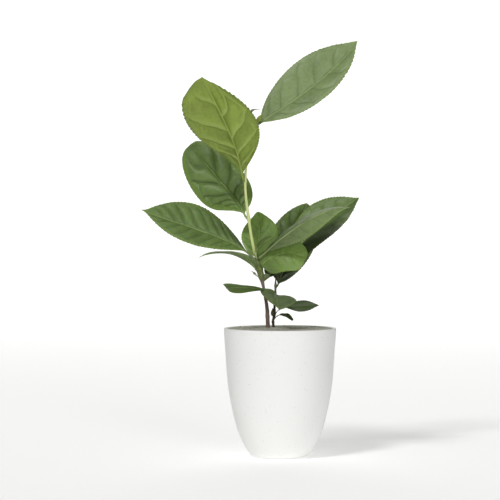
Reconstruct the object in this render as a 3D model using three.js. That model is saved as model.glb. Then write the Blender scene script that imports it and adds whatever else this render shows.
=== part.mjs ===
// Young tea plant in its own pot: a round tapering pot filled with soil, two thin
// woody stems that come out of it, and toothed leaves on short stalks.
// Millimetres, +Z up, the plant's front looks along -Y.
// The origin is the centre of the pot's flat underside.

import * as THREE from 'three';
import { mergeVertices } from 'three/addons/utils/BufferGeometryUtils.js';

// Pot
const POT_HEIGHT = 103;
const RIM_RADIUS = 45;
const POT_WALL = 2.4;
const POT_FLOOR = 4;
const LIP_ROUND = 0.9;
const FLOOR_CORNER = 3;
const FLOOR_TAPER = 4;
const POT_SIDES = 40;
const POT_RINGS = 13;
// Shares of the height where the inner wall and the soil have a ring, bottom to top
const INNER_RINGS = [0.12, 0.25, 0.45, 0.7, 0.9];
// Outer radius as a share of the rim's, at these shares of the height, top to bottom
const POT_PROFILE = [
  [1.0, 1.0],
  [0.93, 0.993],
  [0.84, 0.975],
  [0.7, 0.955],
  [0.535, 0.92],
  [0.38, 0.857],
  [0.233, 0.775],
  [0.14, 0.694],
  [0.093, 0.64],
  [0.047, 0.577],
  [0.023, 0.53],
  [0.008, 0.48],
  [0.0, 0.4],
];

// Soil
const FIT_GAP = 0.3;
const SOIL_BELOW_RIM = 1.4;
const SOIL_MOUND = 0.9;
const SOIL_EXTRA_GAP = 0.2;
const SOIL_SIDES = 32;

// Stems: [x, y, z] along the middle, then [z, radius]
const STEM_SIDES = 8;
const STEM_STEP = 5;
const STEMS = {
  main: {
    name: 'stem_main',
    path: [
      [-9.6, 3, 102.9],
      [-10.5, 2.5, 120],
      [-13.4, 2, 136.5],
      [-16.6, 1.5, 151],
      [-20.8, 0.5, 166],
      [-24.6, -2, 187.5],
      [-27.7, -4, 216.5],
      [-26.2, -3, 237],
      [-17.8, 0, 268],
    ],
    radii: [
      [102, 2.2],
      [106, 1.65],
      [136, 1.15],
      [140, 1.6],
      [144.5, 2.6],
      [149.5, 2.6],
      [154, 2.1],
      [160, 1.35],
      [190, 1.15],
      [220, 1.0],
      [268, 0.75],
    ],
    colour: 0x8d9a5c,
    gloss: 0.55,
  },
  second: {
    name: 'stem_second',
    path: [
      [-5.1, 4, 102.9],
      [-5.5, 4, 108.5],
      [-4.4, 4.2, 114],
      [-4.3, 4.5, 122.5],
      [-3.6, 5, 133],
      [-3.4, 5.2, 143],
    ],
    radii: [
      [102, 1.6],
      [106, 1.2],
      [130, 1.1],
      [143, 0.9],
    ],
    colour: 0x4f4a3a,
    gloss: 0.7,
  },
};

// Buds: spindles beside or on top of a stem
const BUDS = [
  { name: 'bud_tip', on: 'main', above: 0.4, radius: 1.2, height: 6.2, lean: [-0.05, 0, 1], colour: 0x708229 },
  { name: 'bud_axil', on: 'second', z: 115.6, side: [-0.62, -0.78], radius: 1.35, height: 6.6, lean: [0.1, 0, 1], colour: 0x3f4722 },
];

// Leaves. Each has a middle rib along a cubic curve from its stem to its tip, and a
// blade on both sides of it. `half` is the widest half-width left and right of the
// rib, as seen looking from the stem to the tip with the front towards the viewer.
// `foot` and `point` shape the outline towards the stalk and the tip. `roll` turns
// the blade about its rib, at the stalk and at the tip. `fold` lifts the halves
// towards the upper side, `cup` bends them on from there. `stalk` is the share of
// the curve without a blade. `upper` is 1 where the upper side looks to the front.
const LEAF_STEP = 4;
const LEAF_ACROSS = [-1, -0.55, -0.1, 0, 0.1, 0.55, 1];
const LEAF_THICKNESS = 1 / 92;
const THINNEST_LEAF = 0.35;
const RIB_HEIGHT = 0.6;
const TOOTH = 0.3;
const WAVE = 0.5;
const LEAVES = [
  {
    name: 'leaf_top_front', on: 'main', z: 220.8,
    bend: [[-34.1, -12, 243.6], [-33.8, -31.5, 248]], tip: [-61.4, -38.3, 300.8],
    half: [28.2, 26.2], foot: [1.65, 1.68], point: [0.42, 0.96], roll: [-5, -6],
    fold: 12, cup: 6, stalk: 0.06, upper: -1, colour: 0x7d8f43,
  },
  {
    name: 'leaf_top_right', on: 'main', z: 266.4,
    bend: [[-14.2, 1.4, 269.8], [40.5, 9.5, 299.5]], tip: [62.5, 16, 333.8],
    half: [24, 18.3], foot: [1.3, 1.5], point: [0.9, 1.15], roll: [-30, -24],
    fold: 22, cup: -8, stalk: 0.05, upper: 1, colour: 0x7e8f66,
  },
  {
    name: 'leaf_upper_left', on: 'main', z: 190,
    bend: [[-37.7, 9.9, 211.5], [-30.6, 33.3, 199]], tip: [-73.2, 42.4, 251.3],
    half: [23.7, 18.9], foot: [0.98, 0.67], point: [0.38, 0.36], roll: [8, -4],
    fold: 10, cup: -14, stalk: 0.07, upper: 1, colour: 0x627347,
  },
  {
    name: 'leaf_left_long', on: 'main', z: 156.4,
    bend: [[-28.4, -8.6, 173.9], [-79.3, -13.2, 184]], tip: [-110.3, -12.2, 197.8],
    half: [17.2, 20.2], foot: [1.75, 1.75], point: [1.45, 1.2], roll: [38, 30],
    fold: 16, cup: -8, stalk: 0.12, upper: 1, colour: 0x617349,
  },
  {
    name: 'leaf_left_edge', on: 'main', z: 148.2,
    bend: [[-24.7, 8.9, 160.2], [-43.8, 28, 168]], tip: [-65.6, 40, 158.8],
    half: [8.6, 9.6], foot: [0.7, 0.6], point: [0.65, 0.7], roll: [60, 88],
    fold: 6, cup: -12, stalk: 0.07, upper: 1, colour: 0x7f9058,
  },
  {
    name: 'leaf_centre_upright', on: 'main', z: 156,
    bend: [[-19.6, 9, 163], [-14.1, 22, 175]], tip: [-17.9, 30, 196.2],
    half: [14.4, 15.8], foot: [0.85, 0.95], point: [0.81, 0.77], roll: [0, 0],
    fold: 12, cup: -8, stalk: 0.12, upper: 1, colour: 0x647643,
  },
  {
    name: 'leaf_young_axil', on: 'main', z: 163.7,
    bend: [[-16.8, -6.5, 171], [-12.1, -10, 174.6]], tip: [-5.7, -12, 176.2],
    half: [3.2, 3.2], foot: [0.9, 0.9], point: [0.9, 0.9], roll: [-30, -30],
    fold: 48, cup: 0, stalk: 0.12, upper: 1, colour: 0x768a44,
  },
  {
    name: 'leaf_right_front', on: 'main', z: 158.2,
    bend: [[-3.9, -14.2, 172.4], [29.2, -31.6, 200.2]], tip: [52.9, -44.8, 199.4],
    half: [15.2, 14.6], foot: [1.09, 1.6], point: [0.91, 1.15], roll: [-49, -68],
    fold: -14, cup: -10, stalk: 0.07, upper: 1, colour: 0x74845e,
  },
  {
    name: 'leaf_right_low_front', on: 'main', z: 151.6,
    bend: [[-9.4, -6, 161.1], [4.6, -10, 167]], tip: [20.8, -11, 159.4],
    half: [16, 16.2], foot: [0.7, 0.55], point: [0.69, 0.39], roll: [-30, -24],
    fold: 2, cup: -14, stalk: 0.05, upper: 1, colour: 0x6e834e,
  },
  {
    name: 'leaf_second_back', on: 'second', z: 136.2,
    bend: [[-2.4, 12, 141], [9, 28.2, 175.6]], tip: [22.6, 35.9, 203.2],
    half: [18.9, 18.9], foot: [1.24, 1.28], point: [0.92, 0.68], roll: [0, 10],
    fold: 8, cup: -10, stalk: 0.08, upper: 1, colour: 0x4d5a3c,
  },
  {
    name: 'leaf_right_back', on: 'main', z: 143.4,
    bend: [[32.9, 8.4, 187], [38.7, 17, 190.6]], tip: [63.8, 13.1, 207.5],
    half: [19.6, 17.8], foot: [1.14, 0.85], point: [1.02, 0.72], roll: [-42, -34],
    fold: 18, cup: -8, stalk: 0.03, upper: 1, colour: 0x5e7044,
  },
  {
    name: 'leaf_low_left', on: 'second', z: 131.9,
    bend: [[-15.1, -7, 135.2], [-32.1, -16, 137]], tip: [-43.6, -24, 133.5],
    half: [5.9, 5.3], foot: [0.85, 0.95], point: [0.28, 0.28], roll: [50, 50],
    fold: 4, cup: -14, stalk: 0.03, upper: 1, colour: 0x5b6c40,
  },
  {
    name: 'leaf_low_right', on: 'second', z: 129.3,
    bend: [[-4, -9.3, 129.7], [-2.8, -22, 123.2]], tip: [-2.7, -32.3, 119.9],
    half: [14.6, 10.6], foot: [1.16, 0.5], point: [0.4, 0.85], roll: [-4, -4],
    fold: 16, cup: 0, stalk: 0.08, upper: 1, colour: 0x5f7048,
  },
  {
    name: 'leaf_low_far_right', on: 'second', z: 113.2,
    bend: [[-2.1, 0, 120.4], [8.3, 2, 120.2]], tip: [31.3, 5, 121],
    half: [4.6, 4.8], foot: [1.11, 1.2], point: [0.81, 0.81], roll: [-15, -15],
    fold: 8, cup: -10, stalk: 0.46, upper: 1, colour: 0x414d29,
  },
  {
    name: 'leaf_small_low', on: 'second', z: 109.5,
    bend: [[-2.2, -1, 114.7], [3.6, -4.2, 116.6]], tip: [10.2, -7.7, 109.5],
    half: [2.4, 2.4], foot: [0.99, 1.04], point: [0.45, 0.45], roll: [-50, -50],
    fold: 8, cup: -10, stalk: 0.34, upper: 1, colour: 0x353d28,
  },
  {
    name: 'leaf_top_sliver', on: 'main', z: 259,
    bend: [[-24.4, 5, 270], [-27.5, 5, 279.6]], tip: [-16, 4, 277.9],
    half: [0.9, 0.9], foot: [0.8, 0.8], point: [0.8, 0.8], roll: [0, 0],
    fold: 20, cup: 0, stalk: 0.3, upper: 1, colour: 0x8a937c,
  },
  {
    name: 'scale_low', on: 'main', z: 143.4,
    bend: [[-19.3, 0.6, 145.6], [-20.9, -0.5, 147.3]], tip: [-23, -1, 148.7],
    half: [0.8, 0.8], foot: [0.6, 0.6], point: [0.8, 0.8], roll: [0, 0],
    fold: 10, cup: 0, stalk: 0.15, upper: 1, colour: 0x6d7350,
  },
];
const STALK_RADIUS = 0.0095;
const THINNEST_STALK = 0.42;
const STALK_TURN = THREE.MathUtils.degToRad(75);
// The blade is full this far after the stalk, or at twice the stalk and a bit if that is sooner
const BLADE_START = 0.12;
const SHORT_START = 0.03;

const FRONT = new THREE.Vector3(0, -1, 0);
const UP = new THREE.Vector3(0, 0, 1);

const plant = new THREE.Group();

// Adds one named piece with its colour
function addPiece(name, geometry, colour, gloss) {
  geometry.deleteAttribute('normal');
  geometry.deleteAttribute('uv');
  const merged = mergeVertices(geometry, 1e-4);
  merged.computeVertexNormals();
  const material = new THREE.MeshStandardMaterial({ color: colour, roughness: gloss, metalness: 0 });
  const mesh = new THREE.Mesh(merged, material);
  mesh.name = name;
  plant.add(mesh);
  return mesh;
}

// Value between rows of [key, value], in step with the key
function between(rows, key) {
  if (key <= rows[0][0]) return rows[0][1];
  for (let i = 1; i < rows.length; i += 1) {
    const [k0, v0] = rows[i - 1];
    const [k1, v1] = rows[i];
    if (key <= k1) {
      const s = THREE.MathUtils.smoothstep(key, k0, k1);
      return THREE.MathUtils.lerp(v0, v1, s);
    }
  }
  return rows[rows.length - 1][1];
}

// A turned body about Z from [radius, z] points that start and end on the axis
function turned(profile, sides) {
  const points = profile.map(([r, z]) => new THREE.Vector2(r, z));
  return new THREE.LatheGeometry(points, sides).rotateX(Math.PI / 2);
}

// Outer side of the pot from the rim down, [radius, z]
function potSide() {
  const curve = new THREE.SplineCurve(
    POT_PROFILE.map(([h, r]) => new THREE.Vector2(r * RIM_RADIUS, h * POT_HEIGHT)),
  );
  return curve.getPoints(POT_RINGS).map((p) => [p.x, p.y]);
}

// Inner side of the pot at a height, by its wall
function innerRadius(z) {
  const rows = POT_PROFILE.map(([h, r]) => [h * POT_HEIGHT, r * RIM_RADIUS]).reverse();
  for (let i = 1; i < rows.length; i += 1) {
    if (z <= rows[i][0]) {
      const s = (z - rows[i - 1][0]) / (rows[i][0] - rows[i - 1][0]);
      return THREE.MathUtils.lerp(rows[i - 1][1], rows[i][1], s) - POT_WALL;
    }
  }
  return RIM_RADIUS - POT_WALL;
}

// Rings of the pot's inside at a distance in from its wall, [radius, z], bottom to top
function innerRings(gap) {
  return INNER_RINGS.map((h) => [innerRadius(h * POT_HEIGHT) - gap, h * POT_HEIGHT]);
}

function buildPot() {
  const outer = potSide().slice(1).reverse();
  const lipInside = RIM_RADIUS - POT_WALL;
  const lip = [
    [RIM_RADIUS, POT_HEIGHT - LIP_ROUND],
    [RIM_RADIUS - 0.3 * LIP_ROUND, POT_HEIGHT - 0.3 * LIP_ROUND],
    [RIM_RADIUS - LIP_ROUND, POT_HEIGHT],
    [lipInside + 0.4 * LIP_ROUND, POT_HEIGHT],
    [lipInside, POT_HEIGHT - 0.5 * LIP_ROUND],
  ];
  const corner = POT_FLOOR + FLOOR_CORNER;
  const floor = [
    [innerRadius(corner), corner],
    [innerRadius(corner) - FLOOR_TAPER, POT_FLOOR],
    [0, POT_FLOOR],
  ];
  const profile = [[0, 0], ...outer, ...lip, ...innerRings(0).reverse(), ...floor];
  addPiece('pot', turned(profile, POT_SIDES), 0xf1f1f0, 0.75);
}

// Soil fills the pot and stands a little below its rim, with a low mound
function buildSoil() {
  const top = POT_HEIGHT - SOIL_BELOW_RIM;
  const bottom = POT_FLOOR + FIT_GAP;
  const corner = POT_FLOOR + FLOOR_CORNER;
  const gap = FIT_GAP + SOIL_EXTRA_GAP;
  const profile = [
    [0, bottom],
    [innerRadius(corner) - FLOOR_TAPER - gap, bottom],
    [innerRadius(corner) - gap, corner + FIT_GAP],
    ...innerRings(FIT_GAP),
    [RIM_RADIUS - POT_WALL - gap, top],
    [0.72 * RIM_RADIUS, top + 0.3 * SOIL_MOUND],
    [0.3 * RIM_RADIUS, top + SOIL_MOUND],
    [0, top + SOIL_MOUND],
  ];
  addPiece('soil', turned(profile, SOIL_SIDES), 0x5f5a4c, 0.95);
}

// Stems
for (const stem of Object.values(STEMS)) {
  stem.curve = new THREE.CatmullRomCurve3(stem.path.map((p) => new THREE.Vector3(...p)));
  stem.length = stem.curve.getLength();
}

// Point of a stem's middle at a height
function stemPoint(stem, z) {
  let low = 0;
  let high = 1;
  for (let i = 0; i < 30; i += 1) {
    const middle = (low + high) / 2;
    if (stem.curve.getPointAt(middle).z < z) low = middle;
    else high = middle;
  }
  return stem.curve.getPointAt(low);
}

// A straight cylinder bent along the stem's curve, with its radius by height
function buildStem(stem) {
  const steps = Math.round(stem.length / STEM_STEP);
  const geometry = new THREE.CylinderGeometry(1, 1, 1, STEM_SIDES, steps);
  const position = geometry.getAttribute('position');
  for (let i = 0; i < position.count; i += 1) {
    const along = position.getY(i) + 0.5;
    const centre = stem.curve.getPointAt(along);
    const tangent = stem.curve.getTangentAt(along);
    if (along < 1e-6) tangent.copy(UP);
    const across = new THREE.Vector3().crossVectors(tangent, FRONT).normalize();
    const out = new THREE.Vector3().crossVectors(tangent, across);
    const radius = between(stem.radii, centre.z);
    centre.addScaledVector(across, -position.getX(i) * radius);
    centre.addScaledVector(out, position.getZ(i) * radius);
    position.setXYZ(i, centre.x, centre.y, centre.z);
  }
  addPiece(stem.name, geometry, stem.colour, stem.gloss);
}

// A spindle that points along its lean
function buildBud(bud) {
  const stem = STEMS[bud.on];
  const lean = new THREE.Vector3(...bud.lean).normalize();
  const centre = new THREE.Vector3();
  if (bud.above) {
    centre.copy(stem.curve.getPointAt(1)).addScaledVector(lean, bud.above + bud.height / 2);
  } else {
    const [x, y] = bud.side;
    const reach = between(stem.radii, bud.z) + FIT_GAP + bud.radius;
    centre.copy(stemPoint(stem, bud.z)).add(new THREE.Vector3(x * reach, y * reach, 0));
  }
  const geometry = new THREE.SphereGeometry(1, 8, 8);
  geometry.scale(bud.radius, bud.height / 2, bud.radius);
  geometry.applyQuaternion(new THREE.Quaternion().setFromUnitVectors(new THREE.Vector3(0, 1, 0), lean));
  geometry.translate(centre.x, centre.y, centre.z);
  addPiece(bud.name, geometry, bud.colour, 0.6);
}

// Share of the widest half-width at a share of the blade's length
function outline(s, foot, point) {
  const widest = foot / (foot + point);
  return (s / widest) ** foot * ((1 - s) / (1 - widest)) ** point;
}

// A flat box bent into the blade, its first part drawn in to the round stalk
function buildLeaf(leaf, index) {
  const stem = STEMS[leaf.on];
  const axis = stemPoint(stem, leaf.z);
  const bends = leaf.bend.map((p) => new THREE.Vector3(...p));
  const tip = new THREE.Vector3(...leaf.tip);
  const aim = bends[0].clone().sub(axis).setZ(0).normalize();
  const chord = axis.distanceTo(tip);
  const stalkRadius = Math.max(THINNEST_STALK, STALK_RADIUS * chord);
  const climb = bends[0].clone().sub(axis).normalize().z;
  const reach = between(stem.radii, leaf.z) + FIT_GAP + stalkRadius * Math.abs(climb);
  const foot = axis.clone().addScaledVector(aim, reach);
  const rib = new THREE.CubicBezierCurve3(foot, bends[0], bends[1], tip);
  const length = rib.getLength();
  const thickness = Math.max(THINNEST_LEAF, LEAF_THICKNESS * length);
  const steps = Math.max(10, Math.round(length / LEAF_STEP));
  const across = LEAF_ACROSS.length - 1;
  const geometry = new THREE.BoxGeometry(across, 1, 1, across, 1, steps);
  const position = geometry.getAttribute('position');
  for (let i = 0; i < position.count; i += 1) {
    const u = LEAF_ACROSS[Math.round(position.getX(i) + across / 2)];
    const side = position.getY(i) * 2;
    const row = Math.round((position.getZ(i) + 0.5) * steps);
    const t = row / steps;
    const s = THREE.MathUtils.clamp((t - leaf.stalk) / (1 - leaf.stalk), 0, 1);
    const tangent = rib.getTangent(t);
    const normal = FRONT.clone().addScaledVector(tangent, -FRONT.dot(tangent)).normalize();
    const right = new THREE.Vector3().crossVectors(tangent, normal);
    const roll = THREE.MathUtils.degToRad(THREE.MathUtils.lerp(leaf.roll[0], leaf.roll[1], s));
    normal.applyAxisAngle(tangent, roll);
    right.applyAxisAngle(tangent, roll);
    const upper = normal.clone().multiplyScalar(leaf.upper);

    const hand = u > 0 ? 1 : 0;
    const toothed = s > 0.2 && s < 0.97 && Math.abs(u) === 1;
    const tooth = toothed && chord > 30 ? TOOTH * (row % 2 ? 1 : -1) : 0;
    const width = Math.max(leaf.half[hand] * outline(s, leaf.foot[hand], leaf.point[hand]) + tooth, thickness);
    const fold = THREE.MathUtils.degToRad(leaf.fold + 0.5 * leaf.cup * Math.abs(u));
    const wave = WAVE * u * u * Math.sin(s * 3 * Math.PI + index) * Math.sin(Math.PI * s);
    const lean = THREE.MathUtils.degToRad(leaf.fold + leaf.cup * Math.abs(u)) * Math.sign(u);
    const outward = upper.clone().multiplyScalar(Math.cos(lean)).addScaledVector(right, -Math.sin(lean));
    const ribbed = u === 0 && side * leaf.upper > 0 ? RIB_HEIGHT * (1 - s) : 0;
    const blade = new THREE.Vector3()
      .addScaledVector(right, u * width * Math.cos(fold))
      .addScaledVector(upper, Math.abs(u) * width * Math.sin(fold) + wave)
      .addScaledVector(outward, -leaf.upper * side * (thickness / 2 + ribbed));

    const angle = u * STALK_TURN;
    const stalk = new THREE.Vector3()
      .addScaledVector(right, stalkRadius * Math.sin(angle))
      .addScaledVector(normal, -side * stalkRadius * Math.cos(angle));

    const full = Math.min(leaf.stalk + BLADE_START, 2 * leaf.stalk + SHORT_START);
    const share = THREE.MathUtils.smoothstep(t, 0.6 * leaf.stalk, full);
    const point = rib.getPoint(t).add(stalk.lerp(blade, share));
    position.setXYZ(i, point.x, point.y, point.z);
  }
  addPiece(leaf.name, geometry, leaf.colour, 0.5);
}

buildPot();
buildSoil();
Object.values(STEMS).forEach(buildStem);
BUDS.forEach(buildBud);
LEAVES.forEach(buildLeaf);

export default plant;
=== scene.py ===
import random
from math import cos, exp, hypot, pi, radians, sin, sqrt
from types import SimpleNamespace as Row

import bmesh
import bpy
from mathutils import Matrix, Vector, geometry, noise


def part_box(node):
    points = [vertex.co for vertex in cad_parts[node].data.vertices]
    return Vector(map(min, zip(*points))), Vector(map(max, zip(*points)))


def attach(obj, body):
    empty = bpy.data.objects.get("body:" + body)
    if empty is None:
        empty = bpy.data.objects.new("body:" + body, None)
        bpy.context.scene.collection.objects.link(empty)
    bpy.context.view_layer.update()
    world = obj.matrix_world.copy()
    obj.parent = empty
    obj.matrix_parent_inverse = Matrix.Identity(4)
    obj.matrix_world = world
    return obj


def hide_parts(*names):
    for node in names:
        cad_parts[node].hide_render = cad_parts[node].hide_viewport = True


bl_info = {
    "name": "Potted young tea plant",
    "version": (1, 0, 0),
    "blender": (4, 5, 0),
    "location": "3D View > Sidebar > Tea Plant",
    "description": "Builds a young tea plant in its pot, with its stage, round a packed frame",
    "category": "Add Mesh",
}

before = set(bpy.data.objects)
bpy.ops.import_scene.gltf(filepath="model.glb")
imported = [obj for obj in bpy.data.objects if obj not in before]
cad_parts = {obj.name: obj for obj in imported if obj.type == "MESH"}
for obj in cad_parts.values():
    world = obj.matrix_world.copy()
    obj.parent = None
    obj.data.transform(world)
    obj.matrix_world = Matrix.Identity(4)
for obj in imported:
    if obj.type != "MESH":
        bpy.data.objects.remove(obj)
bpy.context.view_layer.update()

# Sizes are in millimetres, and places too, until MM turns them into metres
MM = 0.001
NEAR = 0.01
RANDOM_SEED = 11

# Pot: POT_PROFILE goes from the rim down, as shares of the height and of the rim's radius
POT_BOX = [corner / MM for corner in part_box("pot")]
POT_HEIGHT = POT_BOX[1].z - POT_BOX[0].z
RIM_RADIUS = (POT_BOX[1].x - POT_BOX[0].x) / 2
POT_WALL = 2.4
POT_FLOOR = 4.0
FLOOR_BEVEL = 4
LIP_ROUND = 0.9
FOOT_ROUND = 0.8
POT_TURNS = 128
POT_PROFILE = [
    (1.0, 1.0), (0.93, 0.993), (0.84, 0.975), (0.7, 0.955), (0.535, 0.92), (0.38, 0.857),
    (0.233, 0.775), (0.14, 0.694), (0.093, 0.64), (0.047, 0.577), (0.023, 0.53), (0.008, 0.48),
    (0.0, 0.4),
]

# Soil: lumps as (share of the relief, size), crumbs by their range of radius
SOIL_GAP = 0.3
SOIL_BELOW_RIM = 0.5
SOIL_MOUND = 0.9
SOIL_RELIEF = 0.55
SOIL_LUMPS = ((0.5, 9), (0.45, 3.4))
SOIL_GRAIN = 1.25
SOIL_SUNK = 0.35
SOIL_EDGE = 3
SOIL_RINGS = 60
SOIL_TURNS = 150
CRUMB_COUNT = 420
CRUMB_RADIUS = (0.35, 0.95)
CRUMB_STRETCH = ((0.7, 1.3), (0.7, 1.3), (0.5, 0.9))
CRUMB_LIFT = 0.15

# Stems: `path` is the middle line and `radii` the radius by height. `knots` are swellings as
# (height, extra radius, reach). The bark's relief fades over the heights in `woody_to`.
# `finish` gives the material's name, its dark and light colour where it is woody, ripening
# and green, and the heights over which the first turns into the second and on to the third.
STEM_SIDES = 28
STEM_STEP = 0.8
STEM_ROOTED = 2.6
BARK_RELIEF = 0.22
BARK_SUNK = 0.3
BARK_WRAP = 1.7
BARK_STRETCH = 5
GREEN_RIDGES = 5
GREEN_RELIEF = 0.05
BARK_RAGGED = 9
STEMS = {
    "main": Row(
        node="stem_main",
        path=[
            (-9.6, 3, 102.9), (-10.5, 2.5, 120), (-13.4, 2, 136.5), (-16.6, 1.5, 151),
            (-20.8, 0.5, 166), (-24.6, -2, 187.5), (-27.7, -4, 216.5), (-26.2, -3, 237),
            (-17.8, 0, 268),
        ],
        radii=[
            (102, 2.2), (106, 1.65), (136, 1.15), (140, 1.6), (144.5, 2.6), (149.5, 2.6),
            (154, 1.6), (160, 1.15), (190, 1.15), (220, 1.0), (268, 0.75),
        ],
        knots=[
            (112, 0.12, 1.6), (127, 0.18, 1.8), (151, 0.5, 2.2), (163.5, 0.35, 1.6),
            (190, 0.35, 2.0), (221, 0.3, 2.0),
        ],
        woody_to=(137, 150),
        finish=(
            "bark_to_green_stem", ("#4f423a", "#978579"), ("#434d22", "#6f7d3c"),
            ("#c2d07c", "#dde6a4"), ((142, 150), (158, 176)),
        ),
    ),
    "second": Row(
        node="stem_second",
        path=[
            (-5.1, 4, 102.9), (-5.5, 4, 108.5), (-4.4, 4.2, 114), (-4.3, 4.5, 122.5),
            (-3.6, 5, 133), (-3.4, 5.2, 143),
        ],
        radii=[(102, 1.4), (106, 1.0), (130, 0.9), (137, 0.85), (143, 0.35)],
        knots=[(107.5, 0.25, 1.2), (113.4, 0.3, 1.3), (130.5, 0.3, 1.3), (136.4, 0.25, 1.3)],
        woody_to=(124, 140),
        finish=(
            "dark_bark_stem", ("#2b231d", "#5b4d42"), ("#3f4a24", "#56633a"),
            ("#4d5c30", "#66743f"), ((125, 137), (137, 150)),
        ),
    ),
}

# Buds: spindles, `sunk` into the top of a stem or at a height beside it. `finish` gives the
# material's name and its two colours.
BUD_SIDES = 20
BUD_STEPS = 26
BUD_WRAP = 0.09
BUDS = [
    Row(
        node="bud_tip", on="main", z=None, sunk=0.6, radius=2.1, height=7.2,
        lean=(0.6, -0.3, 1), finish=("tip_bud_scales", "#93a33c", "#6f822a"),
    ),
    Row(
        node="bud_axil", on="second", z=115.6, side=(-0.62, -0.78), radius=1.35,
        height=6.6, lean=(0.1, 0, 1), finish=("axil_bud_scales", "#4a5228", "#343b1c"),
    ),
]

# Leaves: the middle rib is a cubic curve from height `z` of a stem over `bend` to the `tip`.
# Of two values for the blade's halves the first is for the left one, as seen looking from
# the stem to the tip with the front towards the viewer.
#   half, foot, point: widest half-width, and the outline's shape to the stalk and to the tip
#   wing: extra width of the left half's foot
#   nose, nose_length: how far the tip is drawn in, and over which length
#   roll, turn: turn about the rib at the foot and at the tip, and how late it comes
#   fold, cup: degrees by which the halves lift to the upper side, and bend on
#   upper: 1 where the upper side looks to the front, or else -1
#   stalk, start: shares of the rib without a blade, and over which it then widens
#   veins, quilt: side veins on a side, and how far the blade bulges between them
#   loops, ribs: how clear the arcs near the margin are, and the middle rib
#   band, teeth: width of the tinted margin, and share of the usual depth of the teeth
#   flare, scar: how swollen the stalk's foot is, and how dark its painted shade
#   dusk: the half given painted shade, or 2 for both, and how strong at foot and tip
#   tone, slot: finish in TONES, and the slot where it isn't the tone's own
LEAF_DEFAULTS = dict(
    on="main", roll=(0, 0), turn=1, cup=0, upper=1, start=0.03, wing=0, nose=0.35, nose_length=6,
    loops=0.45, ribs=0.8, band=2.2, teeth=1, flare=0.45, scar=0.25, dusk=(2, 0, 0),
    tone="mature", slot=None,
)
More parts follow.
